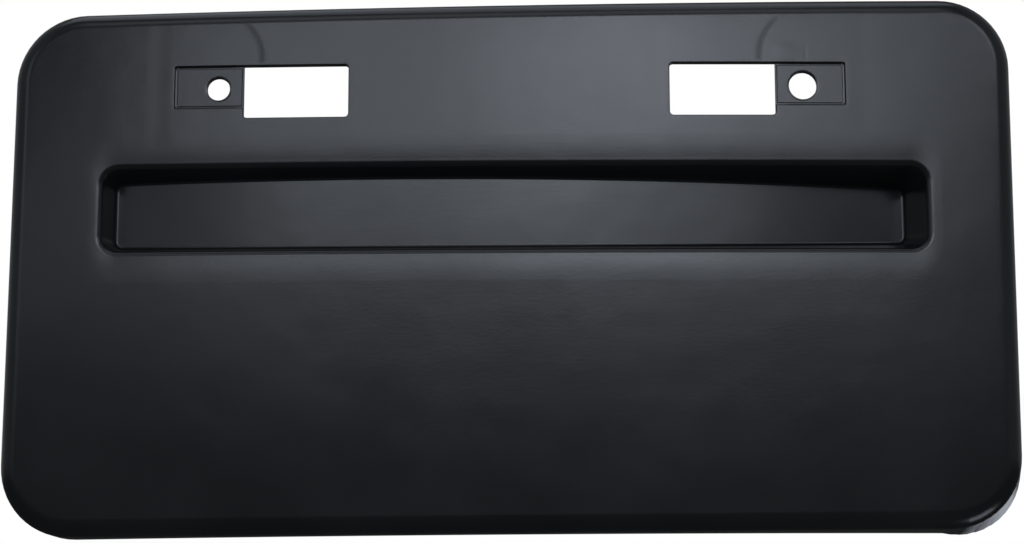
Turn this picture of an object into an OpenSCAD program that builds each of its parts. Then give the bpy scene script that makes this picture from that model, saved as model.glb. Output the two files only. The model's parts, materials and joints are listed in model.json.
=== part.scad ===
// Number plate holder: one moulded plastic shell, open at the back.
// The face looks towards -Y and +Z is up. The origin is on the seat, the curved
// back that lies on the bumper, level with the middle of the long pocket.

/* [Outline] */
// Width of the face between the rolled side edges
face_w = 305.1; // [290:0.1:330]
// Height of the face at its middle, between the rolled edges
face_h = 161; // [150:0.1:180]
// Side offset of the face's middle from the middle between the plate holes
face_x = -0.2; // [-2:0.1:2]
// Radius of the outline's four corners
corner_r = 21.6; // [14:0.1:30]
// Rise of the top edge from left to right, in mm for each mm of width
top_slope = 0.011; // [-0.02:0.001:0.02]
// Rise of the bottom edge from left to right
bottom_slope = 0.0075; // [-0.02:0.0005:0.02]
// Lean of both side edges to the right with height
side_lean = 0.005; // [-0.01:0.001:0.01]

/* [Shell] */
// Radius of the face, bowed slightly from side to side
bow_r = 2650; // [1800:50:6000]
// Thickness of the moulded wall
wall = 2.5; // [1.8:0.1:3]
// Radius of the rolled edge between face and skirt
roll_r = 5.4; // [4:0.1:8]
// Draft of the skirt, which widens towards the back
skirt_draft = 2; // [1:0.5:6]
// Widening of the skirt at its lower right corner, in mm for each mm of depth
corner_flare = 0.38; // [0:0.02:0.4]

/* [Seat] */
// Radius of the bumper curve that the pocket floor and the rim follow
floor_r = 874; // [700:1:2500]
// Side offset of the curve's axis, which makes the holder deeper on the right
floor_x = -22.5; // [-40:0.5:40]
// Least depth of the pocket floor behind the middle of the face
floor_depth = 8.2; // [6:0.1:10]

/* [Pocket] */
// Width of the long pocket's mouth
pocket_w = 253.2; // [200:0.2:260]
// Height of the long pocket's mouth
pocket_h = 29.2; // [24:0.1:36]
// Side offset of the pocket's middle
pocket_x = 0.85; // [-5:0.05:5]
// Height of the pocket's middle above the middle of the face
pocket_z = 16.7; // [5:0.1:20]
// Radius of the mouth's corners
pocket_corner_r = 7; // [6.2:0.1:9]
// Radius of the rounded lip around the mouth
lip_r = 2.2; // [1.5:0.1:3]
// Draft of the pocket's upper and lower walls
pocket_draft = 14; // [8:0.5:15]
// Draft that the right end wall has more than them, and the left one less
pocket_end_draft = 1; // [0:0.5:2]
// Radius of the fillet between the pocket's walls and floor
fillet_r = 1; // [0.6:0.1:1.2]

/* [Plate fixings] */
// Distance between the two plate holes
hole_pitch = 177.8; // [170:0.1:185]
// Height of the plate holes above the middle of the face
hole_z = 54.05; // [50:0.05:57]
// Diameter of the left hole
left_hole_d = 7; // [5:0.1:8.5]
// Diameter of the right hole
right_hole_d = 8.5; // [5:0.1:10]
// Length of each recessed pad, outwards from its window
pad_l = 21.1; // [18:0.1:24]
// Height of each recessed pad
pad_h = 13.1; // [12:0.1:15]
// Depth of the recessed pads
pad_depth = 1; // [0.5:0.1:1.3]

/* [Windows] */
// Width of each window
window_w = 32.1; // [24:0.1:36]
// Height of each window
window_h = 16.2; // [12:0.1:18]
// Distance of each window's middle from the middle of the holder
window_x = 64.8; // [60:0.1:67]
// Side offset of both windows and their pads
window_shift = -0.3; // [-1:0.1:1]
// Height of the windows' top edge above the middle of the face
window_top_z = 61.05; // [58:0.05:63]
// Radius of the windows' corners
window_corner_r = 1.1; // [0.5:0.1:3]

/* [Ribs] */
// Thickness of the ribs behind the face
rib_t = 1.6; // [1.2:0.1:2]
// Height of the ribs behind the back of the face
rib_h = 6; // [3:0.5:7]
// Distance of the inner ribs from the middle
rib_inner_x = 44.5; // [40:0.5:46]
// Distance of the outer ribs from the middle
rib_outer_x = 107; // [105:0.5:115]

/* [Hidden] */
// Segments of the exact round features, and steps of the rolled and filleted edges
large_fn = 1440;
small_fn = 96;
corner_steps = 8;
side_steps = 12;
roll_steps = 7;
lip_steps = 5;
// Depths to which the skirt and the tub run before the seat trims them
skirt_run = 42;
tub_run = 24.5;
// Step by which a cut passes the surface that it opens
pass = 3;
// The back of the pocket floor and the rim share one surface, the seat
seat_r = floor_r - wall;
seat_axis_y = floor_depth + floor_r;
seat_mid_y = seat_axis_y - sqrt(pow(seat_r, 2) - pow(floor_x, 2));

// Depth of the bowed face and of the pocket floor at x
function face_y(x) = bow_r - sqrt(pow(bow_r, 2) - pow(x, 2));
function floor_y(x) = seat_axis_y - sqrt(pow(floor_r, 2) - pow(x - floor_x, 2));

// Height of the top and bottom edge lines at x, and place of a side line at z
function top_z(x) = face_h / 2 + top_slope * x;
function bottom_z(x) = -face_h / 2 + bottom_slope * x;
function side_x(s, z) = face_x + s * face_w / 2 + side_lean * z;

// Centres of a loop's corners, clockwise from the top left
CORNERS = [[-1, 1], [1, 1], [1, -1], [-1, -1]];
outline = [
    for (c = CORNERS)
        let (
            x = face_x + c[0] * (face_w / 2 - corner_r),
            z = (c[1] > 0 ? top_z(x) : bottom_z(x)) - c[1] * corner_r
        ) [side_x(c[0], z) - c[0] * corner_r, z]
];
mouth = [
    for (c = CORNERS)
        [
            pocket_x + c[0] * (pocket_w / 2 - pocket_corner_r),
            pocket_z + c[1] * (pocket_h / 2 - pocket_corner_r)
        ]
];

// Direction of the outward normal of a loop's side k, counted from the top
function side_angle(loop, k) =
    let (d = loop[(k + 1) % 4] - loop[k % 4]) atan2(d[0], -d[1]);
// Turn from side k to the next, always clockwise
function turn(loop, k) = (side_angle(loop, k) - side_angle(loop, k + 1) + 720) % 360;
function corner_stations(loop, k) = [
    for (i = [0:corner_steps])
        let (a = side_angle(loop, k + 3) - turn(loop, k + 3) * i / corner_steps)
            [loop[k], [cos(a), sin(a)]]
];
function side_stations(loop, k) = [
    for (i = [1:side_steps - 1])
        let (a = side_angle(loop, k), f = i / side_steps)
            [loop[k] * (1 - f) + loop[k + 1] * f, [cos(a), sin(a)]]
];
// Stations around a loop, clockwise from the left side's top, each a base point and a direction
function stations(loop) = concat(
    corner_stations(loop, 0), side_stations(loop, 0), corner_stations(loop, 1),
    corner_stations(loop, 2), side_stations(loop, 2), corner_stations(loop, 3)
);

// Skin over rows of rings, all with the same number of points, closed over at both ends
module skin(rings) {
    n = len(rings[0]);
    m = len(rings);
    points = [for (ring = rings) each ring];
    sides = [
        for (j = [0:m - 2])
            for (i = [0:n - 1])
                let (a = j * n + i, b = j * n + (i + 1) % n)
                    each [[a, b + n, b], [a, a + n, b + n]]
    ];
    end = (m - 1) * n;
    caps = [
        for (i = [0:n / 2 - 2])
            let (k = n - 1 - i)
                each [
                    [i, k - 1, k], [i, i + 1, k - 1],
                    [end + i, end + k, end + k - 1], [end + i, end + k - 1, end + i + 1]
                ]
    ];
    polyhedron(points = points, faces = concat(sides, caps));
}

// Widening of the skirt at station s, which grows down the right side and fades round its corner
function flare(s, depth) =
    let (down = max(0, -s[0][1] - corner_r * s[1][1]) / (face_h / 2))
        corner_flare * max(0, s[1][0]) * pow(down, 2) * max(0, depth - roll_r);
// Ring of a loop at distance reach from its base points and depth below the face
function face_ring(line, reach, depth) = [
    for (s = line)
        let (p = s[0] + (reach + flare(s, depth)) * s[1]) [p[0], face_y(p[0]) + depth, p[1]]
];

// Roll and drafted skirt moved inwards by step, as [reach, depth] from the face to the back
function skirt_section(step) =
    let (
        r = roll_r - step,
        arc = [
            for (i = [0:roll_steps])
                let (a = 90 - (90 - skirt_draft) * i / roll_steps)
                    [corner_r - roll_r + r * cos(a), roll_r - r * sin(a)]
        ],
        start = arc[roll_steps]
    ) concat(arc, [[start[0] + (skirt_run - start[1]) * tan(skirt_draft), skirt_run]]);

function reversed(v) = [for (i = [len(v) - 1:-1:0]) v[i]];

// The bowed face with its rolled edge and skirt, as one closed skin
module shell() {
    line = stations(outline);
    section = concat(skirt_section(0), reversed(skirt_section(wall)));
    skin([for (p = section) face_ring(line, p[0], p[1])]);
}

// Draft of the pocket wall that faces direction d
function wall_draft(d) = pocket_draft + pocket_end_draft * d[0];
// Reach of the pocket wall at a depth below the face
function wall_reach(d, depth) =
    let (a = wall_draft(d))
        pocket_corner_r - lip_r * cos(a) - (depth - lip_r * (1 - sin(a))) * tan(a);
// Ring point of the pocket at station s
function pocket_point(s, reach, y) =
    let (p = s[0] + reach * s[1]) [p[0], y, p[1]];

// Space inside the pocket: lip, drafted walls, fillet and bowed floor
module pocket_space() {
    line = stations(mouth);
    above = face_ring(line, pocket_corner_r, -pass);
    lip = [
        for (i = [0:lip_steps])
            [
                for (s = line)
                    let (
                        a = 90 - (90 - wall_draft(s[1])) * i / lip_steps,
                        reach = pocket_corner_r - lip_r * cos(a),
                        x = s[0][0] + reach * s[1][0]
                    ) pocket_point(s, reach, face_y(x) + lip_r * (1 - sin(a)))
            ]
    ];
    fillet = [
        for (i = [0:lip_steps])
            [
                for (s = line)
                    let (
                        draft = wall_draft(s[1]),
                        a = draft + (90 - draft) * i / lip_steps,
                        depth = floor_y(s[0][0]) - face_y(s[0][0]) - fillet_r,
                        centre = max(0.1, wall_reach(s[1], depth) - fillet_r / cos(draft)),
                        reach = centre + fillet_r * cos(a),
                        x = s[0][0] + reach * s[1][0]
                    ) pocket_point(s, reach, floor_y(x) - fillet_r * (1 - sin(a)))
            ]
    ];
    skin(concat([above], lip, fillet));
}

// Walls of the pocket as a solid block, trimmed later by the seat
module tub_block() {
    function reach(s, depth) =
        max(0.1, wall_reach(s[1], depth) + wall / cos(wall_draft(s[1])));
    skin([
        for (depth = [wall / 2, tub_run])
            [
                for (s = stations(mouth))
                    pocket_point(s, reach(s, depth), face_y(s[0][0]) + depth)
            ]
    ]);
}

// Bumper curve of radius r, as a tall drum behind the holder
module drum(r) {
    translate([floor_x, seat_axis_y, -150]) cylinder(r = r, h = 300, $fn = large_fn);
}

// Rounded rectangle of size [w, h] in the plane of the face, from depth y0 to y1
module face_block(w, h, r, y0, y1) {
    translate([0, y1, 0])
        rotate([90, 0, 0])
            linear_extrude(y1 - y0) {
                square([w - 2 * r, h], center = true);
                square([w, h - 2 * r], center = true);
                for (sx = [-1, 1])
                    for (sz = [-1, 1])
                        translate([sx * (w / 2 - r), sz * (h / 2 - r)])
                            circle(r = r, $fn = small_fn);
            }
}

// Window, recessed pad on its outer side and the hole in the pad; s is -1 on the left
module fixing_cut(s, hole_d) {
    pad_x = window_x + window_w / 2 + pad_l / 2;
    pad_y = face_y(pad_x) + pad_depth;
    translate([s * window_x + window_shift, 0, window_top_z - window_h / 2])
        face_block(window_w, window_h, window_corner_r, -pass, 12);
    translate([s * (pad_x - 0.5) + window_shift, 0, window_top_z - pad_h / 2])
        face_block(pad_l + 1, pad_h, 0.6, -pass, pad_y);
    translate([s * hole_pitch / 2, 12, hole_z])
        rotate([90, 0, 0])
            cylinder(d = hole_d, h = 12 + pass, $fn = small_fn);
}

// Rib behind the face from the pocket's upper wall to the top skirt
module rib(x) {
    z0 = pocket_z + pocket_h / 2 - 1;
    y0 = face_y(x) + wall / 2;
    translate([x - rib_t / 2, y0, z0])
        cube([rib_t, wall / 2 + rib_h, top_z(x) - roll_r / 2 - z0]);
}

module plate_holder() {
    color([0.06, 0.06, 0.065])
        translate([0, -seat_mid_y, -pocket_z])
            difference() {
                union() {
                    shell();
                    tub_block();
                    for (s = [-1, 1]) {
                        rib(s * rib_inner_x);
                        rib(s * rib_outer_x);
                    }
                }
                drum(seat_r);
                pocket_space();
                fixing_cut(-1, left_hole_d);
                fixing_cut(1, right_hole_d);
            }
}

plate_holder();
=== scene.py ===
"""Number plate holder: the moulded shell, its plastic and a plain stage."""

import json
import math

import bmesh
import bpy
from bpy.props import FloatProperty, FloatVectorProperty, IntProperty, PointerProperty
from mathutils import Matrix, Vector

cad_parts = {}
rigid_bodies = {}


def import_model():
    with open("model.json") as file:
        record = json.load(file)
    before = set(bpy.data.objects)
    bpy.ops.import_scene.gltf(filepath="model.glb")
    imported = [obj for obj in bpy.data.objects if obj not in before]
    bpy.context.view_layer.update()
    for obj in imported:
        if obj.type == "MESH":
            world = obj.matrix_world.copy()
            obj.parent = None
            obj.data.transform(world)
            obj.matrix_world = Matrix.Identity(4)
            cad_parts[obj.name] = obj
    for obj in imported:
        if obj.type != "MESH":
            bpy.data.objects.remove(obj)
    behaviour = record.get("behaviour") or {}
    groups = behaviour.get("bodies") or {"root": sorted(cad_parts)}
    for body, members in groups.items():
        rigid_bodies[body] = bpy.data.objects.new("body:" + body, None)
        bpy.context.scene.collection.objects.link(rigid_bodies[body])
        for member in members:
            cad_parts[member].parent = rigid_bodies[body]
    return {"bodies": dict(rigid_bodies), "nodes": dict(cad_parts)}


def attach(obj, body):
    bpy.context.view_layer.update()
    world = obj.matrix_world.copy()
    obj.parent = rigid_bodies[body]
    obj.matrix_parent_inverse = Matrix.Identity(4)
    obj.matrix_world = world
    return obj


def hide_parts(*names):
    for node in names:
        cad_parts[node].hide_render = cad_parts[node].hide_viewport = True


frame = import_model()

bl_info = {
    "name": "Number Plate Holder",
    "version": (1, 0, 0),
    "blender": (4, 5, 0),
    "location": "3D View > Sidebar > Plate Holder",
    "description": "Builds a moulded number plate holder and a plain stage for it",
    "category": "Add Mesh",
}

for item in list(bpy.data.objects):
    if item not in list(frame["nodes"].values()) + list(frame["bodies"].values()):
        bpy.data.objects.remove(item)

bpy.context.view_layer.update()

# Tolerances in metres, and depths past the seat, to which the walls run before they are cut
MERGE = 1e-6
NEAR = 1e-5
SKIRT_RUN = 0.042
TUB_RUN = 0.03

# Depth at which the pocket's floor is built, before it is set to its own curve
FLAT_FLOOR = 0.012


# Kinds of settings
def length(name, default, description):
    return FloatProperty(
        name=name, default=default, description=description, subtype="DISTANCE", unit="LENGTH"
    )


def angle(name, degrees, description):
    return FloatProperty(
        name=name, default=math.radians(degrees), description=description, subtype="ANGLE"
    )


def number(name, default, description):
    return FloatProperty(name=name, default=default, description=description)


def count(name, default, description):
    return IntProperty(name=name, default=default, description=description, min=1)


def colour(name, default, description):
    return FloatVectorProperty(
        name=name, default=default, description=description, subtype="COLOR", max=1, min=0
    )


def place(name, default, description):
    return FloatVectorProperty(
        name=name, default=default, description=description, subtype="TRANSLATION", unit="LENGTH"
    )


def size(name, default, description):
    return FloatVectorProperty(
        name=name, default=default, description=description, size=2, unit="LENGTH"
    )


class PlateHolderSizes(bpy.types.PropertyGroup):
    """Sizes of the moulded shell"""

    face_w: length("Face width", 0.3051, "Width of the face between the side edges")
    face_h: length("Face height", 0.16099, "Height of the face at its middle")
    face_x: length("Face offset", -0.0002, "Side offset of the face from between the holes")
    corner_r: length("Corner radius", 0.0216, "Radius of the outline's corners")
    top_slope: number("Top slope", 0.011, "Rise of the top edge from left to right")
    bottom_slope: number("Bottom slope", 0.0075, "Rise of the bottom edge from left to right")
    side_lean: number("Side lean", 0.005, "Lean of the side edges to the right with height")
    bow_r: length("Bow radius", 2.65, "Radius of the face from side to side")
    wall: length("Wall", 0.0025, "Thickness of the moulded wall")
    roll_r: length("Rolled edge", 0.0054, "Radius of the roll between face and skirt")
    draft: angle("Skirt draft", 2.0, "Angle at which the skirt widens towards the back")
    flare: number("Corner flare", 0.3, "Widening of the lower right corner with depth")
    side_steps: count("Side steps", 12, "Facets along the right side, which widens downwards")
    floor_r: length("Floor radius", 0.874, "Radius of the pocket floor from side to side")
    floor_x: length("Floor offset", -0.0225, "Side offset of the pocket floor's axis")
    floor_depth: length("Floor depth", 0.0082, "Least depth of the pocket floor")
    pocket_w: length("Pocket width", 0.2532, "Width of the pocket's mouth")
    pocket_h: length("Pocket height", 0.0292, "Height of the pocket's mouth")
    pocket_x: length("Pocket offset", 0.00085, "Side offset of the pocket's middle")
    pocket_z: length("Pocket level", 0.0167, "Height of the pocket above the face's middle")
    pocket_corner_r: length("Pocket corners", 0.007, "Radius of the mouth's corners")
    lip_r: length("Lip radius", 0.0022, "Radius of the rounded lip of the pocket")
    sink: length("Lip sink", 0.00021, "Depth to which the face sinks towards the lip")
    sink_w: length("Sink width", 0.0075, "Width of the sink above and below the pocket")
    sink_end: length("Sink at ends", 0.003, "Width of the sink at the pocket's ends")
    hem: length("Hem", 0.0005, "Plain hem between the sink and the face")
    end_share: number("End share", 0.25, "Share of the sink's depth at the pocket's ends")
    pocket_draft: angle("Pocket draft", 14.0, "Draft of the upper and lower pocket walls")
    end_draft: angle("End draft", 1.0, "Draft that the right end has more, the left one less")
    floor_corner_r: length("Floor corners", 0.0015, "Least radius of the pocket floor's corners")
    corner_blend: length("Corner blend", 0.006, "Length over which the walls meet those corners")
    fillet_r: length("Fillet", 0.001, "Radius between the pocket's walls and floor")
    hole_pitch: length("Hole pitch", 0.1778, "Distance between the two plate holes")
    hole_z: length("Hole level", 0.05405, "Height of the plate holes")
    left_hole_d: length("Left hole", 0.007, "Diameter of the left hole")
    right_hole_d: length("Right hole", 0.0085, "Diameter of the right hole")
    pad_l: length("Pad length", 0.0211, "Length of each recessed pad")
    pad_h: length("Pad height", 0.0131, "Height of each recessed pad")
    pad_depth: length("Pad depth", 0.001, "Depth of the recessed pads")
    groove_w: length("Pad groove", 0.0004, "Width of the fine groove around each pad")
    groove_d: length("Groove depth", 0.00022, "Depth of the fine groove around each pad")
    window_w: length("Window width", 0.0321, "Width of each window")
    window_h: length("Window height", 0.0162, "Height of each window")
    window_x: length("Window place", 0.0648, "Distance of the windows from the middle")
    window_shift: length("Window shift", -0.0003, "Side offset of the windows and pads")
    window_top: length("Window level", 0.06105, "Height of the windows' top edge")
    window_r: length("Window corners", 0.0011, "Radius of the windows' corners")
    rib_t: length("Rib thickness", 0.0016, "Thickness of the ribs behind the face")
    rib_h: length("Rib height", 0.006, "Height of the ribs behind the face")
    rib_bite: length("Rib bite", 0.001, "How far the ribs start below the pocket's top edge")
    rib_inner_x: length("Inner ribs", 0.0445, "Distance of the inner ribs from the middle")
    rib_outer_x: length("Outer ribs", 0.107, "Distance of the outer ribs from the middle")
    pad_r: length("Pad corners", 0.0006, "Radius of the pads' outer corners")
    hole_edge_r: length("Hole edges", 0.0002, "Small radius on the edge of each plate hole")
    edge_r: length("Edge rounding", 0.0003, "Small radius on the edges of pads and holes")
    hole_margin: length("Hole margin", 0.0008, "Plain ring around each plate hole")
    margin: length("Margin", 0.0015, "Plain border around pads and windows")
    strip: length("Strip width", 0.005, "Width of the strips that follow the bow")
    roll_steps: count("Roll steps", 12, "Facets of the rolled edge")
    corner_steps: count("Corner steps", 14, "Facets of each corner")
    lip_steps: count("Lip steps", 9, "Facets of the pocket's lip and fillet")
    hole_steps: count("Hole steps", 64, "Facets of each plate hole")
    smooth_to: angle("Smooth up to", 32.0, "Angle between faces above which an edge stays sharp")


class PlateHolderFinish(bpy.types.PropertyGroup):
    """Look of the black plastic"""

    colour: colour("Colour", (0.0034, 0.0038, 0.0044), "Colour of the plastic")
    bloom: colour("Bloom", (0.0058, 0.0063, 0.0071), "Colour where the surface has greyed")
    roughness: number("Roughness", 0.23, "Roughness of the moulded surface")
    grain_rough: number("Grain roughness", 0.05, "Change of roughness with the grain")
    cloud_rough: number("Cloud roughness", 0.06, "Change of roughness with the clouding")
    grain: length("Grain", 0.0008, "Size of the fine grain")
    grain_depth: length("Grain depth", 0.000015, "Depth of the fine grain")
    wave: length("Waviness", 0.014, "Size of the soft waves in the surface")
    wave_depth: length("Wave depth", 0.00008, "Depth of the soft waves")
    cloud: length("Clouding", 0.0336, "Size of the patches in which colour and roughness vary")
    rib_mark: length("Rib marks", 0.00002, "Depth of the sink marks over the ribs")
    rib_mark_fade: length("Rib mark fade", 0.01, "Length over which the sink marks set in")
    rib_mark_w: length("Rib mark width", 0.0045, "Half the width of the sink marks")
    knit_depth: length("Knit lines", 0.00004, "Depth of the knit lines above the windows")
    knit_w: length("Knit width", 0.0024, "Half the width of the knit lines")
    knit_x: length("Knit place", 0.0759, "Distance of the knit lines from the middle")
    knit_z: length("Knit level", 0.0472, "Height at which the knit lines are upright")
    knit_l: length("Knit length", 0.009, "Height over which the knit lines are strong")
    knit_rough: number("Knit roughness", 0.1, "Added roughness of the knit lines")
    knit_bend: number("Knit bend", 42.0, "How strongly the knit lines bend outwards")
    patch_x: length("Patch place", 0.0839, "Distance of the raised patch above the right pad")
    patch_z: length("Patch level", 0.0479, "Height of the raised patch")
    patch_r: length("Patch radius", 0.0055, "Radius of the raised patch")
    patch_h: length("Patch height", 0.00005, "Height by which the patch stands out")
    line_x: length("Line place", 0.0898, "Distance of the short line above the right pad")
    line_w: length("Line width", 0.0008, "Half the width of the short line")
    line_l: length("Line length", 0.004, "Half the length of the short line")
    line_h: length("Line depth", 0.00002, "Depth of the short line")
    speck: length("Speck spacing", 0.016, "Distance between dust specks")
    speck_r: number("Speck size", 0.012, "Radius of a speck as a share of their spacing")
    dust: colour("Dust", (0.06, 0.062, 0.066), "Colour of the dust specks")


class PlateHolderStage(bpy.types.PropertyGroup):
    """Floor, lights and camera"""

    floor_z: length("Floor level", -0.3, "Height of the floor")
    floor_colour: colour("Floor colour", (0.8, 0.8, 0.8), "Colour of the floor")
    room_light: number("Room light", 0.8, "Even light of the room on matt surfaces")
    room_front: colour("Room in front", (0.012, 0.0125, 0.014), "Room in front, in reflections")
    room_side: colour("Room at the sides", (0.18, 0.2, 0.22), "Room at the sides, in reflections")
    side_start: number("Side start", 0.3, "Sideways part of a reflection where the sides begin")
    back_start: number("Back start", 0.15, "Rearward part of a reflection where white begins")
    backdrop_gloss: number("Backdrop in gloss", 0.1, "Share of the backdrop in reflections")
    floor_gloss: number("Floor in gloss", 0.02, "Share of the floor in reflections")
    lamp_colour: colour("Lamp colour", (0.82, 0.89, 1.0), "Colour of the soft lights")
    main_from: place("Main place", (0.022, -1.243, 0.38), "Place of the main front light")
    main_size: size("Main size", (0.95, 0.27), "Width and height of the main front light")
    main_power: number("Main power", 2.45, "Power of the main front light in watts")
    core_from: place("Core place", (0.104, -1.191, 0.365), "Place of the middle front light")
    core_size: size("Core size", (0.24, 0.2), "Width and height of the middle front light")
    core_power: number("Core power", 0.5, "Power of the middle front light in watts")
    low_from: place("Low place", (-0.2, -1.266, 0.215), "Place of the low front light")
    low_size: size("Low size", (1.6, 0.12), "Width and height of the low front light")
    low_power: number("Low power", 0.55, "Power of the low front light in watts")
    high_from: place("High place", (-0.03, -0.92, 0.93), "Place of the high front light")
    high_size: size("High size", (1.1, 0.5), "Width and height of the high front light")
    high_power: number("High power", 1.6, "Power of the high front light in watts")
    right_from: place("Right place", (0.64, -1.02, 0.48), "Place of the front light at the right")
    right_size: size("Right size", (0.25, 0.3), "Width and height of the right front light")
    right_power: number("Right power", 0.7, "Power of the right front light in watts")
    left_from: place("Left place", (-0.9, -0.88, 0.33), "Place of the front light at the left")
    left_size: size("Left size", (0.25, 0.45), "Width and height of the left front light")
    left_power: number("Left power", 0.25, "Power of the left front light in watts")
    card_from: place("Card place", (0.27, -0.03, -0.26), "Place of the low card at the right")
    card_size: size("Card size", (0.1, 0.1), "Width and height of the low card")
    card_power: number("Card power", 0.06, "Power of the low card in watts")
    top_from: place("Top place", (-0.1, 0.05, 1.3), "Place of the light overhead")
    top_size: size("Top size", (1.1, 1.3), "Width and height of the light overhead")
    top_power: number("Top power", 4.2, "Power of the light overhead in watts")
    side_from: place("Side place", (0.53, 1.13, -0.19), "Place of the low light behind")
    side_size: size("Side size", (0.25, 0.2), "Width and height of the low light behind")
    side_power: number("Side power", 0.14, "Power of the low light behind in watts")
    camera_from: place("Camera place", (0.01356, -0.6229, -0.11878), "Place of the camera")
    camera_turn: angle("Camera turn", 1.209, "Turn of the camera to the left")
    camera_tilt: angle("Camera tilt", 9.189, "Tilt of the camera upwards")
    camera_roll: angle("Camera roll", -0.063, "Roll of the camera")
    lens: number("Lens", 72.99, "Focal length in millimetres on a 36 mm wide sensor")


# Basic moves on the mesh
def kind(items, what):
    return [item for item in items if isinstance(item, what)]


def once(items):
    """Each item once, in the order in which it first comes."""
    return list(dict.fromkeys(items))


def grow(bm, edges, move):
    """Extrudes a loop of edges and puts each new vertex where move(old) says."""
    made = bmesh.ops.extrude_edge_only(bm, edges=edges)["geom"]
    verts = set(kind(made, bmesh.types.BMVert))
    for v in verts:
        v.co = move(v.co)
    return [e for e in kind(made, bmesh.types.BMEdge) if set(e.verts) <= verts], verts


def push(bm, faces, depth):
    """Extrudes faces straight back by a depth and returns the moved faces."""
    edges = once(e for f in faces for e in f.edges)
    made = bmesh.ops.extrude_face_region(bm, geom=faces + edges)["geom"]
    bmesh.ops.translate(bm, verts=kind(made, bmesh.types.BMVert), vec=(0, depth, 0))
    return kind(made, bmesh.types.BMFace)


def inset(bm, face, width):
    """Insets a single flat face and returns the edges left around it."""
    ring = bmesh.ops.inset_region(
        bm, faces=[face], thickness=width, use_even_offset=True, use_boundary=True
    )["faces"]
    return [e for f in ring for e in f.edges if e.is_boundary]


def round_edges(bm, edges, radius, segments=3):
    """Rounds the given edges."""
    bmesh.ops.bevel(
        bm, geom=edges, offset=radius, offset_type="OFFSET", segments=segments,
        profile=0.5, affect="EDGES", clamp_overlap=True, material=-1,
    )


def round_corners(bm, verts, radius, segments):
    """Rounds corners of a flat outline."""
    bmesh.ops.bevel(
        bm, geom=verts, offset=radius, offset_type="OFFSET", segments=segments,
        profile=0.5, affect="VERTICES", clamp_overlap=False, material=-1,
    )


def open_up(bm, faces):
    """Takes faces away and keeps the edges around them."""
    edges = once(
        e for f in faces for e in f.edges
        if len(e.link_faces) < 2 or not set(e.link_faces) <= set(faces)
    )
    bmesh.ops.delete(bm, geom=list(faces), context="FACES_ONLY")
    return edges


class Core:
    """The straight middle of a rounded rectangle, from which its rings are measured."""

    def __init__(self, x, z, half_w, half_h):
        self.x, self.z, self.half_w, self.half_h = x, z, half_w, half_h

    def split(self, p):
        """The nearest point of the core, and the distance and direction from there."""
        base = Vector((
            min(max(p.x, self.x - self.half_w), self.x + self.half_w), 0,
            min(max(p.z, self.z - self.half_h), self.z + self.half_h),
        ))
        way = Vector((p.x - base.x, 0, p.z - base.z))
        return base, way.length, way.normalized()

    def place(self, reach, depth):
        """A move that puts a vertex at a reach from the core and at a depth."""
        def move(p):
            base, _, way = self.split(p)
            far = reach(way) if callable(reach) else reach
            deep = depth(way) if callable(depth) else depth
            return base + far * way + Vector((0, deep, 0))
        return move

    def outline(self, bm, reach, depth, steps):
        """Edges of a rounded rectangle around the core."""
        w, h = self.half_w + reach, self.half_h + reach
        turn = Matrix.Translation((self.x, depth, self.z)) @ Matrix.Rotation(math.pi / 2, 4, "X")
        made = bmesh.ops.create_grid(
            bm, x_segments=1, y_segments=1, size=1, matrix=turn @ Matrix.Diagonal((w, h, 1, 1))
        )["verts"]
        before = set(bm.verts) - set(made)
        round_corners(bm, made, reach, steps)
        verts = set(bm.verts) - before
        edges = [e for e in bm.edges if e.verts[0] in verts and e.verts[1] in verts]
        faces = [f for f in bm.faces if f.verts[0] in verts]
        bmesh.ops.delete(bm, geom=faces, context="FACES_ONLY")
        return edges


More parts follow.
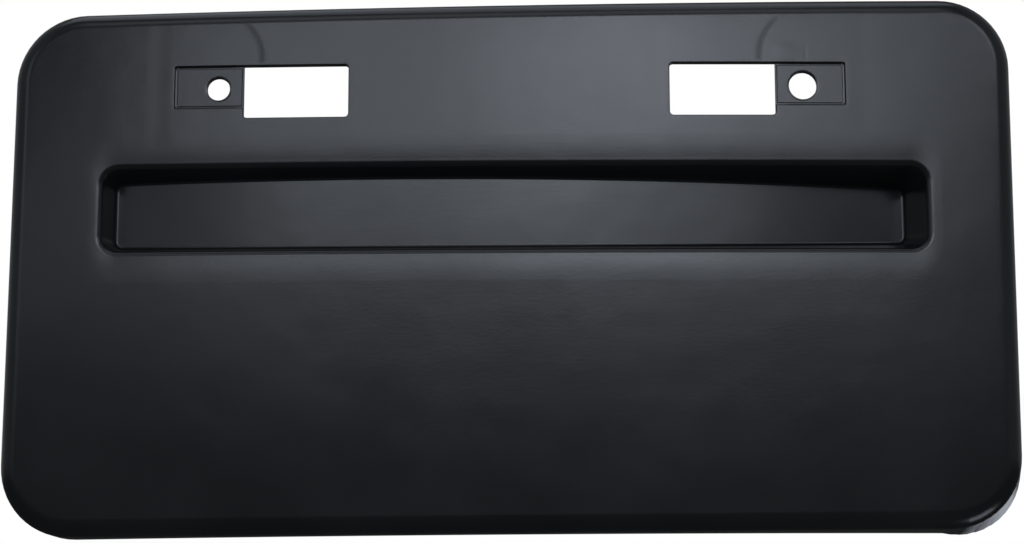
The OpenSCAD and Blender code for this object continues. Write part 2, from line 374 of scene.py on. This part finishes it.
class Shell:
    """The moulded shell, built flat in strips, then bowed and cut to its seat."""

    def __init__(self, sizes):
        self.s = s = sizes
        self.bm = bmesh.new()
        self.share = self.bm.verts.layers.float.new("floor_share")
        self.seat_r = s.floor_r - s.wall
        self.axis_y = s.floor_depth + s.floor_r
        self.plane = {"face": [], "back": []}
        self.outer = Core(s.face_x, 0, s.face_w / 2 - s.corner_r, s.face_h / 2 - s.corner_r)
        r = s.pocket_corner_r
        self.mouth = Core(s.pocket_x, s.pocket_z, s.pocket_w / 2 - r, s.pocket_h / 2 - r)

    # Curves of the face, the floor and the seat
    def face_y(self, x):
        return self.s.bow_r - math.sqrt(self.s.bow_r**2 - x * x)

    def floor_y(self, x):
        return self.axis_y - math.sqrt(self.s.floor_r**2 - (x - self.s.floor_x) ** 2)

    def seat_y(self, x):
        return self.axis_y - math.sqrt(self.seat_r**2 - (x - self.s.floor_x) ** 2)

    def wall_draft(self, way):
        """Draft of the pocket wall that faces a direction."""
        return self.s.pocket_draft + self.s.end_draft * way.x

    def wall_reach(self, way, depth):
        """Distance of the pocket wall from the mouth's core at a depth."""
        s, a = self.s, self.wall_draft(way)
        start = s.pocket_corner_r - s.lip_r * math.cos(a)
        return start - (depth - s.lip_r * (1 - math.sin(a))) * math.tan(a)

    def round_floor(self, p, way, depth):
        """The inward move that keeps a radius in the corners of a deep pocket floor."""
        s, mouth = self.s, self.mouth
        edge = self.wall_reach(way, depth - s.fillet_r)
        edge -= s.fillet_r / math.cos(self.wall_draft(way))
        along_x = (abs(p.x - mouth.x) - mouth.half_w) / s.corner_blend + 1
        along_z = (abs(p.z - mouth.z) - mouth.half_h) / s.corner_blend + 1
        both = min(max(along_x, 0), 1) * min(max(along_z, 0), 1)
        more = both * max(0, s.floor_corner_r - edge)
        side_x, side_z = math.copysign(1, p.x - mouth.x), math.copysign(1, p.z - mouth.z)
        return more * Vector((way.x - side_x, 0, way.z - side_z))

    # Parts of the flat shell
    def edge_roll(self, step):
        """The rolled edge and the drafted skirt, moved inwards by step."""
        s, bm = self.s, self.bm
        r = s.roll_r - step
        start = s.corner_r - s.roll_r
        edges = self.outer.outline(bm, start, step, s.corner_steps)
        edges = self.divide_right_side(edges)
        verts = {v for e in edges for v in e.verts}
        self.plane["back" if step else "face"] += edges
        for i in range(1, s.roll_steps + 1):
            a = math.pi / 2 - (math.pi / 2 - s.draft) * i / s.roll_steps
            reach, depth = start + r * math.cos(a), s.roll_r - r * math.sin(a)
            edges, new = grow(bm, edges, self.outer.place(reach, depth))
            verts |= new
        reach += (SKIRT_RUN - depth) * math.tan(s.draft)
        edges, new = grow(bm, edges, self.outer.place(reach, SKIRT_RUN))
        for v in new:
            base, _, way = self.outer.split(v.co)
            down = max(0, -base.z - s.corner_r * way.z) / (s.face_h / 2)
            v.co += s.flare * (SKIRT_RUN - s.roll_r) * max(0, way.x) * down**2 * way
        for v in verts | new:
            x, z = v.co.x, v.co.z
            v.co.x += s.side_lean * z
            v.co.z += (s.top_slope if z > 0 else s.bottom_slope) * x

    def divide_right_side(self, edges):
        """Divides the right side of an outline, so that the skirt can widen there."""
        right = self.outer.x + self.outer.half_w + NEAR
        side = [e for e in edges if min(v.co.x for v in e.verts) > right
                and e.calc_length() > self.outer.half_h]
        made = bmesh.ops.subdivide_edges(self.bm, edges=side, cuts=self.s.side_steps - 1)
        kept = [e for e in edges if e not in side]
        return kept + kind(made["geom_split"], bmesh.types.BMEdge)

    def fixing(self, side, hole_d):
        """Window, recessed pad and hole on one side, -1 being the left."""
        s, bm = self.s, self.bm
        x0 = s.window_x - s.window_w / 2
        x1 = s.window_x + s.window_w / 2
        x2 = x1 + s.pad_l
        top, low = s.window_top, s.window_top - s.window_h
        shelf = s.window_top - s.pad_h
        m = s.margin
        shift = s.window_shift

        # Outline of window and pad together, with a plain margin around it
        corners = [
            (x0 - m, top + m), (x2 + m, top + m), (x2 + m, shelf - m),
            (x1 + m, shelf - m), (x1 + m, low - m), (x0 - m, low - m),
        ]
        verts = [bm.verts.new((side * x + shift, 0, z)) for x, z in corners]
        face = bm.faces.new(verts if side < 0 else verts[::-1])
        old = set(bm.verts) - set(verts)
        round_corners(bm, [verts[0], verts[4], verts[5]], s.window_r + m, 6)
        pad_corners = [v for v in verts if v.is_valid and (v.co.x - shift) * side > x2]
        round_corners(bm, pad_corners, s.pad_r + m, 5)
        verts = set(bm.verts) - old
        face = next(f for f in bm.faces if set(f.verts) <= verts)
        self.plane["face"] += inset(bm, face, m)

        # Both go down to the pad's level, and the window on through the wall
        cut = bmesh.ops.bisect_plane(
            bm, geom=[face] + list(face.edges) + list(face.verts), dist=MERGE,
            plane_co=(side * x1 + shift, 0, 0), plane_no=(1, 0, 0),
        )["geom"]
        inner = kind(cut, bmesh.types.BMFace)
        rim = once(e for f in inner for e in f.edges if not set(e.link_faces) <= set(inner))
        low_faces = push(bm, inner, s.pad_depth)
        pad = max(low_faces, key=lambda f: side * f.calc_center_median().x)
        window = min(low_faces, key=lambda f: side * f.calc_center_median().x)
        push(bm, [window], s.wall - s.pad_depth)
        foot = [e for e in pad.edges if abs(e.verts[0].co.x - e.verts[1].co.x) > MERGE
                or side * (e.verts[0].co.x - shift) > x1 + NEAR]
        round_edges(bm, foot, s.edge_r * 0.8, 2)
        rim = [e for e in rim if e.is_valid]
        round_edges(bm, rim, s.edge_r, 3)

        # The window is opened, the pad gets its fine groove and its hole
        window = self.flat_face_at(side * (x0 + x1) / 2 + shift, s.wall)
        self.plane["back"] += open_up(bm, [window])
        pad = self.flat_face_at(side * (x1 + x2) / 2 + shift, s.pad_depth)
        for width, lift in ((s.groove_w, 0), (s.groove_d, s.groove_d)):
            bmesh.ops.inset_region(bm, faces=[pad], thickness=width, use_even_offset=True)
            bmesh.ops.translate(bm, verts=pad.verts[:], vec=(0, -lift, 0))
        border = open_up(bm, [pad])
        self.hole(side * s.hole_pitch / 2, hole_d / 2, border)

    def flat_face_at(self, x, depth):
        """The largest face at a depth whose middle is near x."""
        near = [
            f for f in self.bm.faces
            if all(abs(v.co.y - depth) < MERGE for v in f.verts)
            and abs(f.calc_center_bounds().x - x) < self.s.pad_h / 3
            and f.calc_center_bounds().z > self.s.face_h / 5
        ]
        return max(near, key=lambda f: f.calc_area())

    def hole(self, x, radius, border):
        """A round hole through the pad, whose border is given."""
        s, bm = self.s, self.bm
        level = s.pad_depth - s.groove_d
        turn = Matrix.Translation((x, level, s.hole_z)) @ Matrix.Rotation(math.pi / 2, 4, "X")
        ring = bmesh.ops.create_circle(
            bm, cap_ends=True, radius=radius + s.hole_margin, segments=s.hole_steps, matrix=turn
        )["verts"]
        face = ring[0].link_faces[0]
        outer = inset(bm, face, s.hole_margin)
        rim = list(face.edges)
        end = push(bm, [face], s.wall - level)
        self.plane["back"] += open_up(bm, end)
        round_edges(bm, [e for e in rim if e.is_valid], s.hole_edge_r, 2)
        bmesh.ops.triangle_fill(bm, use_beauty=True, use_dissolve=False, edges=border + outer)

    def pocket(self):
        """The long pocket: sunk border, lip, drafted walls, fillet and floor."""
        s, bm, mouth = self.s, self.bm, self.mouth
        full = s.pocket_corner_r + s.sink_w + s.hem

        def dip(way):
            return s.sink * (s.end_share + (1 - s.end_share) * way.z**2)

        edges = mouth.outline(bm, full, 0, s.corner_steps)
        self.plane["face"] += edges
        for k in (1, 0.7, 0.45, 0.25, 0.1, 0):
            edges, _ = grow(bm, edges, mouth.place(
                lambda way: s.pocket_corner_r + k * (
                    s.sink_end + (s.sink_w - s.sink_end) * way.z**2
                ),
                lambda way: dip(way) * (1 - k) ** 2,
            ))
        for i in range(1, s.lip_steps + 1):
            k = i / s.lip_steps

            def bend(way):
                return math.pi / 2 - (math.pi / 2 - self.wall_draft(way)) * k

            edges, _ = grow(bm, edges, mouth.place(
                lambda way: s.pocket_corner_r - s.lip_r * math.cos(bend(way)),
                lambda way: dip(way) * (1 - k) + s.lip_r * (1 - math.sin(bend(way))),
            ))
        steps = s.lip_steps - 3
        for i in range(steps + 1):
            k = i / steps

            def bend(way):
                return self.wall_draft(way) + (math.pi / 2 - self.wall_draft(way)) * k

            def reach(way):
                wall = self.wall_reach(way, FLAT_FLOOR - s.fillet_r)
                centre = max(NEAR * 10, wall - s.fillet_r / math.cos(self.wall_draft(way)))
                return centre + s.fillet_r * math.cos(bend(way))

            edges, new = grow(bm, edges, mouth.place(
                reach, lambda way: FLAT_FLOOR - s.fillet_r * (1 - math.sin(bend(way))),
            ))
            for v in new:
                v[self.share] = 1
        bmesh.ops.edgeloop_fill(bm, edges=edges)

    def tub(self):
        """The pocket's walls as seen from behind."""
        s, bm, mouth = self.s, self.bm, self.mouth

        def reach(way, depth):
            return self.wall_reach(way, depth) + s.wall / math.cos(self.wall_draft(way))

        edges = mouth.outline(bm, s.pocket_corner_r, s.wall, s.corner_steps)
        move = mouth.place(lambda way: reach(way, s.wall), s.wall)
        for v in {v for e in edges for v in e.verts}:
            v.co = move(v.co)
        self.plane["back"] += edges
        grow(bm, edges, mouth.place(lambda way: reach(way, TUB_RUN), TUB_RUN))

    def fill(self, name):
        """Closes the flat sheet between all outlines that lie in it."""
        edges = [e for e in self.plane[name] if e.is_valid]
        bmesh.ops.triangle_fill(self.bm, use_beauty=True, use_dissolve=False, edges=edges)

    # Steps from flat to bowed
    def slice(self, flat_only=False):
        """Cuts the mesh, or only what lies flat at zero depth, into upright strips."""
        s, bm = self.s, self.bm
        n = int((s.face_w / 2) / s.strip)
        for k in range(-n, n + 1):
            geom = list(bm.verts) + list(bm.edges) + list(bm.faces)
            if flat_only:
                level = [f for f in bm.faces if all(abs(v.co.y) < MERGE / 10 for v in f.verts)]
                geom = level + once(e for f in level for e in f.edges)
                geom += once(v for f in level for v in f.verts)
            bmesh.ops.bisect_plane(
                bm, geom=geom, dist=MERGE, plane_co=(k * s.strip, 0, 0), plane_no=(1, 0, 0)
            )

    def bow(self):
        """Bows the face and sets the pocket floor to its own curve and depth."""
        for v in self.bm.verts:
            k = v[self.share]
            shift = self.face_y(v.co.x)
            if k > 0:
                base, reach, way = self.mouth.split(v.co)
                true = self.floor_y(base.x) - self.face_y(base.x)
                reach -= k * (true - FLAT_FLOOR) * math.tan(self.wall_draft(way))
                y = v.co.y
                v.co = base + reach * way + k * self.round_floor(v.co, way, true)
                v.co.y = y
                deep = self.floor_y(v.co.x) - FLAT_FLOOR
                shift = (1 - k) * self.face_y(v.co.x) + k * deep
            v.co.y += shift

    def seat(self):
        """Cuts skirt and tub along the seat, closes the rim and the tub's back."""
        s, bm = self.s, self.bm
        for v in bm.verts:
            v.co.y -= self.seat_y(v.co.x)
        geom = list(bm.verts) + list(bm.edges) + list(bm.faces)
        bmesh.ops.bisect_plane(
            bm, geom=geom, dist=MERGE, plane_co=(0, 0, 0), plane_no=(0, 1, 0), clear_outer=True
        )
        loose = [e for e in bm.edges if e.is_boundary]
        far = s.pocket_corner_r * 2
        tub = [e for e in loose if all(self.mouth.split(v.co)[1] < far for v in e.verts)]
        inside = set(tub)
        rim = [e for e in loose if e not in inside]
        bmesh.ops.triangle_fill(bm, use_beauty=True, use_dissolve=False, edges=rim)
        bmesh.ops.edgeloop_fill(bm, edges=tub)
        self.slice(flat_only=True)
        for v in bm.verts:
            v.co.y += self.seat_y(v.co.x)

    def build(self, name):
        """Makes the whole shell and returns its object."""
        s, bm = self.s, self.bm
        self.edge_roll(0)
        self.edge_roll(s.wall)
        self.fixing(-1, s.left_hole_d)
        self.fixing(1, s.right_hole_d)
        self.pocket()
        self.tub()
        self.fill("face")
        self.fill("back")
        self.slice()
        self.bow()
        self.seat()
        bmesh.ops.remove_doubles(bm, verts=bm.verts, dist=MERGE)
        bmesh.ops.recalc_face_normals(bm, faces=bm.faces)
        middle = Vector((0, -self.seat_y(0), -s.pocket_z))
        bmesh.ops.translate(bm, verts=bm.verts, vec=middle)
        mesh = bpy.data.meshes.new(name)
        bm.to_mesh(mesh)
        bm.free()
        return link(bpy.data.objects.new(name, mesh))

    def ribs(self):
        """The four ribs behind the face, as one object to be joined to the shell."""
        s = self.s
        bm = bmesh.new()
        for x in (-s.rib_outer_x, -s.rib_inner_x, s.rib_inner_x, s.rib_outer_x):
            y0 = self.face_y(x) + s.wall / 2
            y1 = self.face_y(x) + s.wall + s.rib_h
            z0 = s.pocket_z + s.pocket_h / 2 - s.rib_bite
            z1 = s.face_h / 2 + s.top_slope * x - s.roll_r / 2
            centre = Matrix.Translation((x, (y0 + y1) / 2, (z0 + z1) / 2))
            spread = Matrix.Diagonal((s.rib_t, y1 - y0, z1 - z0, 1))
            bmesh.ops.create_cube(bm, size=1, matrix=centre @ spread)
        middle = Vector((0, -self.seat_y(0), -s.pocket_z))
        bmesh.ops.translate(bm, verts=bm.verts, vec=middle)
        mesh = bpy.data.meshes.new("ribs")
        bm.to_mesh(mesh)
        bm.free()
        return link(bpy.data.objects.new("ribs", mesh))


def link(obj):
    bpy.context.scene.collection.objects.link(obj)
    return obj


def join_solid(piece, tool):
    """Unites two solids into the first one's mesh and takes the second away."""
    union = piece.modifiers.new("Union", "BOOLEAN")
    union.operation = "UNION"
    union.solver = "EXACT"
    union.object = tool
    graph = bpy.context.evaluated_depsgraph_get()
    mesh = bpy.data.meshes.new_from_object(piece.evaluated_get(graph))
    piece.modifiers.clear()
    old, piece.data = piece.data, mesh
    mesh.name = old.name
    bpy.data.meshes.remove(old)
    bpy.data.objects.remove(tool)


# Shader maths
class Value:
    """A socket on which sums can be written."""

    def __init__(self, tree, socket):
        self.tree, self.socket = tree, socket

    def maths(self, operation, *others):
        """The result of one sum with this socket and others."""
        node = self.tree.nodes.new("ShaderNodeMath")
        node.operation = operation
        for slot, item in zip(node.inputs, (self,) + others):
            plug(self.tree, slot, item)
        return Value(self.tree, node.outputs[0])

    def __add__(self, other):
        return self.maths("ADD", other)

    def __sub__(self, other):
        return self.maths("SUBTRACT", other)

    def __mul__(self, other):
        return self.maths("MULTIPLY", other)

    def __truediv__(self, other):
        return self.maths("DIVIDE", other)

    def __rsub__(self, other):
        return (self * -1) + other

    __radd__ = __add__
    __rmul__ = __mul__

    def near(self, centre, width):
        """1 at the centre, falling to 0 at a distance of width."""
        return (1 - ((self - centre) / width).maths("ABSOLUTE")).soft()

    def soft(self):
        """Held between 0 and 1, with a soft start and end."""
        held = self.maths("MAXIMUM", 0).maths("MINIMUM", 1)
        return held * held * (3 - 2 * held)


def plug(tree, slot, item):
    """Links or sets one input."""
    if isinstance(item, Value):
        tree.links.new(item.socket, slot)
    elif item is not None:
        slot.default_value = item


class Wiring:
    """Adds nodes to one tree."""

    def __init__(self, tree):
        self.tree = tree
        tree.nodes.clear()

    def node(self, what, settings=None, **inputs):
        """A node of a type, with its settings and then its socket values or links."""
        made = self.tree.nodes.new("ShaderNode" + what)
        for name, setting in (settings or {}).items():
            setattr(made, name, setting)
        for name, item in inputs.items():
            plug(self.tree, made.inputs[name.replace("_", " ")], item)
        return made

    def out(self, node, name=0):
        return Value(self.tree, node.outputs[name])

    def noise(self, point, scale, detail=2.0, rough=0.5):
        made = self.node("TexNoise", Vector=point, Scale=scale, Detail=detail, Roughness=rough)
        return self.out(made, "Fac")

    def blend(self, factor, first, second):
        """Mix of two colours."""
        made = self.node("Mix", {"data_type": "RGBA"})
        plug(self.tree, made.inputs[0], factor)
        plug(self.tree, made.inputs[6], first)
        plug(self.tree, made.inputs[7], second)
        return Value(self.tree, made.outputs[2])


def solid(rgb):
    return (*rgb, 1.0)


def rib_marks(x, z, f, s):
    """Where the face has sunk over the ribs behind it."""
    middle = (s.rib_inner_x + s.rib_outer_x) / 2
    half = (s.rib_outer_x - s.rib_inner_x) / 2
    from_rib = ((x.maths("ABSOLUTE") - middle).maths("ABSOLUTE") - half).near(0, f.rib_mark_w)
    return from_rib * ((z - s.pocket_h / 2) / f.rib_mark_fade).soft()


def knit_lines(x, z, f):
    """Two faint lines that bend outwards above the windows."""
    above = z - f.knit_z
    bent = x.maths("ABSOLUTE") - f.knit_x - above.maths("MAXIMUM", 0) * above * f.knit_bend
    line = bent.near(0, f.knit_w)
    start = ((above + 0.003) / 0.002).soft()
    fade = ((above - f.knit_l) / 0.004).soft() * 0.8
    return line * line * start * (1 - fade)


def patch_marks(x, z, f):
    """Height of the raised patch and the short line above the right pad."""
    off_x, off_z = x - f.patch_x, (z - f.patch_z) * 1.4
    off = (off_x * off_x + off_z * off_z).maths("SQRT")
    line = x.near(f.line_x, f.line_w) * z.near(f.patch_z - 0.001, f.line_l)
    return off.near(0, f.patch_r) * f.patch_h - line * f.line_h


def dust_specks(w, point, cloud, f):
    """Where dust specks lie."""
    dots = w.node("TexVoronoi", {"feature": "F1"}, Vector=point, Scale=1 / f.speck)
    speck = ((f.speck_r - w.out(dots, "Distance")) * 300).soft()
    return speck * (cloud - 0.52).maths("GREATER_THAN", 0)


def black_plastic(f, s):
    """Black moulded plastic with a fine grain, faint waves and moulding marks."""
    material = bpy.data.materials.new("black_plastic")
    material.use_nodes = True
    w = Wiring(material.node_tree)
    point = w.out(w.node("TexCoord"), "Object")
    parts = w.node("SeparateXYZ", Vector=point)
    x, z = w.out(parts, "X"), w.out(parts, "Z")
    grain = w.noise(point, 1 / f.grain, 3.0, 0.6)
    wave = w.noise(point, 1 / f.wave, 1.5, 0.45)
    cloud = w.noise(point, 1 / f.cloud, 3.0, 0.55)
    knit = knit_lines(x, z, f)
    colour = w.blend((cloud - 0.35) * 1.6, solid(f.colour), solid(f.bloom))
    colour = w.blend(dust_specks(w, point, cloud, f) * 0.6, colour, solid(f.dust))
    roughness = f.roughness + (cloud - 0.5) * f.cloud_rough + (grain - 0.5) * f.grain_rough
    roughness = roughness + knit * f.knit_rough
    height = (grain - 0.5) * f.grain_depth + (wave - 0.5) * f.wave_depth
    height = height - rib_marks(x, z, f, s) * f.rib_mark - knit * f.knit_depth
    height = height + patch_marks(x, z, f)
    bump = w.out(w.node("Bump", Height=height, Distance=1.0, Strength=1.0))
    shader = w.node(
        "BsdfPrincipled", Base_Color=colour, Roughness=roughness, Normal=bump, IOR=1.5
    )
    w.node("OutputMaterial", Surface=w.out(shader))
    return material


def pale_floor(st):
    """Plain matt floor."""
    material = bpy.data.materials.new("pale_floor")
    material.use_nodes = True
    w = Wiring(material.node_tree)
    point = w.out(w.node("TexCoord"), "Object")
    dust = w.noise(point, 3.0, 2.0)
    colour = w.blend(dust, solid(st.floor_colour), solid([0.97 * c for c in st.floor_colour]))
    mirrored = w.out(w.node("LightPath"), "Is Glossy Ray") * (1 - st.floor_gloss)
    colour = w.blend(mirrored, colour, solid((0, 0, 0)))
    shader = w.node("BsdfPrincipled", Base_Color=colour, Roughness=0.9)
    w.node("OutputMaterial", Surface=w.out(shader))
    return material


def studio_room(st):
    """White behind the object, dim in front and at the sides, white where the camera looks."""
    world = bpy.data.worlds.new("room")
    bpy.context.scene.world = world
    world.use_nodes = True
    w = Wiring(world.node_tree)
    way = w.node("SeparateXYZ", Vector=w.out(w.node("TexCoord"), "Generated"))
    behind = (w.out(way, "Y") - st.back_start) * 4
    behind = behind.maths("MAXIMUM", 0).maths("MINIMUM", 1)
    aside = (w.out(way, "X").maths("ABSOLUTE") - st.side_start) * 3
    aside = aside.soft() * ((w.out(way, "Z") + 0.15) * 4).soft()
    path = w.node("LightPath")
    shiny = w.out(path, "Is Glossy Ray").maths("MAXIMUM", w.out(path, "Is Transmission Ray"))
    white, even = solid((1, 1, 1)), solid([st.room_light] * 3)
    mirrored = w.blend(aside, solid(st.room_front), solid(st.room_side))
    mirrored = w.blend(behind * st.backdrop_gloss, mirrored, white)
    colour = w.blend(w.out(path, "Is Camera Ray"), w.blend(shiny, even, mirrored), white)
    w.node("OutputWorld", Surface=w.out(w.node("Background", Color=colour, Strength=1.0)))


def soft_light(name, start, size, power, colour):
    """A wide soft light that faces the object."""
    lamp = bpy.data.lights.new(name, "AREA")
    lamp.shape, lamp.energy = "RECTANGLE", power
    lamp.size, lamp.size_y = size
    lamp.color = colour
    light = link(bpy.data.objects.new(name, lamp))
    light.location = start
    light.rotation_euler = (-Vector(start)).to_track_quat("-Z", "Y").to_euler()
    light.visible_camera = False
    return light


class PLATEHOLDER_OT_shell(bpy.types.Operator):
    """Build the moulded shell with its pocket, windows, pads and ribs"""

    bl_idname = "plateholder.shell"
    bl_label = "Build Shell"

    def execute(self, context):
        shell = Shell(context.scene.plate_holder_sizes)
        piece = shell.build("moulded_shell")
        join_solid(piece, shell.ribs())
        if not piece.data.polygons:
            raise RuntimeError("the shell came out empty")
        piece.data.shade_smooth()
        piece.data.set_sharp_from_angle(angle=shell.s.smooth_to)
        normals = piece.modifiers.new("Weighted Normal", "WEIGHTED_NORMAL")
        normals.keep_sharp = True
        piece.data.materials.clear()
        piece.data.materials.append(black_plastic(
            context.scene.plate_holder_finish, context.scene.plate_holder_sizes
        ))
        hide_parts("plate_holder")
        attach(piece, "root")
        return {"FINISHED"}


class PLATEHOLDER_OT_stage(bpy.types.Operator):
    """Set up the floor, the soft lights and the camera"""

    bl_idname = "plateholder.stage"
    bl_label = "Set Up Stage"

    def execute(self, context):
        st = context.scene.plate_holder_stage
        floor = bpy.data.meshes.new("floor")
        bm = bmesh.new()
        bmesh.ops.create_grid(bm, x_segments=1, y_segments=1, size=4)
        bmesh.ops.translate(bm, verts=bm.verts, vec=(0, 0, st.floor_z))
        bm.to_mesh(floor)
        bm.free()
        floor.materials.append(pale_floor(st))
        ground = link(bpy.data.objects.new("floor", floor))
        for name in ("main", "core", "low", "high", "right", "left", "card", "top", "side"):
            start, size, power = [getattr(st, name + end) for end in ("_from", "_size", "_power")]
            soft_light(name + "_light", start, size, power, st.lamp_colour)
        studio_room(st)
        lens = bpy.data.cameras.new("camera")
        lens.lens, lens.sensor_width = st.lens, 36
        lens.clip_start, lens.clip_end = 0.01, 50
        eye = link(bpy.data.objects.new("camera", lens))
        eye.location = st.camera_from
        turn = Matrix.Rotation(st.camera_turn, 3, "Z")
        tilt = Matrix.Rotation(math.pi / 2 + st.camera_tilt, 3, "X")
        roll = Matrix.Rotation(st.camera_roll, 3, "Z")
        eye.rotation_euler = (turn @ tilt @ roll).to_euler()
        context.scene.camera = eye
        context.scene.view_settings.view_transform = "Standard"
        return {"FINISHED"}


class PLATEHOLDER_PT_panel(bpy.types.Panel):
    """Settings of the plate holder"""

    bl_label = "Plate Holder"
    bl_idname = "PLATEHOLDER_PT_panel"
    bl_space_type = "VIEW_3D"
    bl_region_type = "UI"
    bl_category = "Plate Holder"

    def draw(self, context):
        scene, layout = context.scene, self.layout
        layout.operator("plateholder.shell")
        layout.operator("plateholder.stage")
        for group in (
            scene.plate_holder_sizes, scene.plate_holder_finish, scene.plate_holder_stage
        ):
            box = layout.box()
            for name in group.__annotations__:
                box.prop(group, name)


CLASSES = (
    PlateHolderSizes,
    PlateHolderFinish,
    PlateHolderStage,
    PLATEHOLDER_OT_shell,
    PLATEHOLDER_OT_stage,
    PLATEHOLDER_PT_panel,
)


def register():
    for c in CLASSES:
        bpy.utils.register_class(c)
    bpy.types.Scene.plate_holder_sizes = PointerProperty(type=PlateHolderSizes)
    bpy.types.Scene.plate_holder_finish = PointerProperty(type=PlateHolderFinish)
    bpy.types.Scene.plate_holder_stage = PointerProperty(type=PlateHolderStage)


def unregister():
    del bpy.types.Scene.plate_holder_stage
    del bpy.types.Scene.plate_holder_finish
    del bpy.types.Scene.plate_holder_sizes
    for c in reversed(CLASSES):
        bpy.utils.unregister_class(c)


def main():
    register()
    bpy.ops.plateholder.shell()
    bpy.ops.plateholder.stage()


if __name__ == "__main__":
    main()
